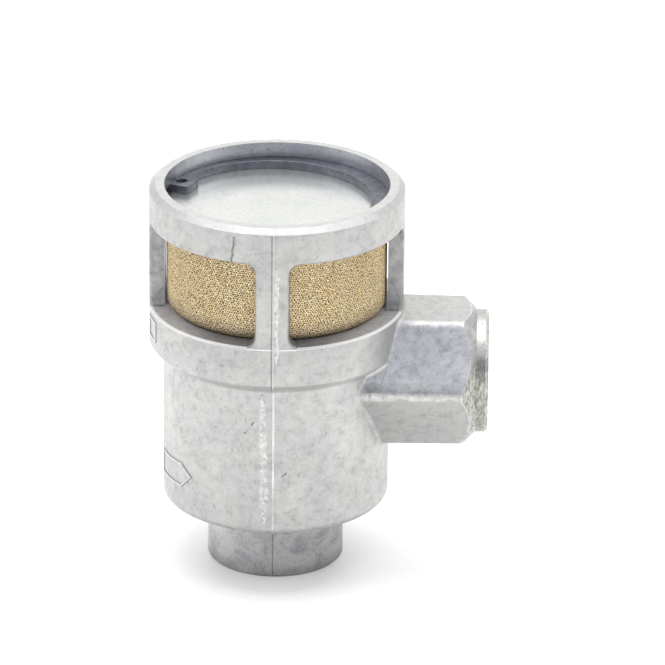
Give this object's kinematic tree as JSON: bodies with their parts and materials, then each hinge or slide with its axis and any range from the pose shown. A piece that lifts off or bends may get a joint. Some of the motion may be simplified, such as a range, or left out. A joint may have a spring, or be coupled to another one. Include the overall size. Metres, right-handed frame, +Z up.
{
  "type": "quick exhaust valve",
  "caption": "Pneumatic quick exhaust valve: cast body with threaded inlet below and side outlet, and a caged sintered silencer on top that vents through windows.",
  "frame": {"origin": "centre of the inlet port's mouth, on the valve's axis", "axes": "+Z up the valve's axis from inlet to silencer, +X along the outlet port's axis, out of the valve"},
  "size_m": [0.0708, 0.0534, 0.083],
  "materials": {
    "cast_housing": "as cast, satin",
    "sintered_bronze": "porous, matte",
    "bright_disc": "satin",
    "ring_steel": "phosphated, dark",
    "turned_brass": "turned",
    "seal_rubber": "matte"
  },
  "bodies": {
    "valve_body": {"housing": "cast_housing", "exhaust_seat": "turned_brass", "seat_o_ring": "seal_rubber", "silencer": "sintered_bronze", "cover_disc": "bright_disc", "retaining_ring": "ring_steel"},
    "seal": {"valve_seal": "seal_rubber"}
  },
  "joints": [
    {"name": "seal_travel", "type": "slide", "parent": "valve_body", "child": "seal", "axis": [0, 0, 1], "range_m": [0, 0.0034]}
  ]
}
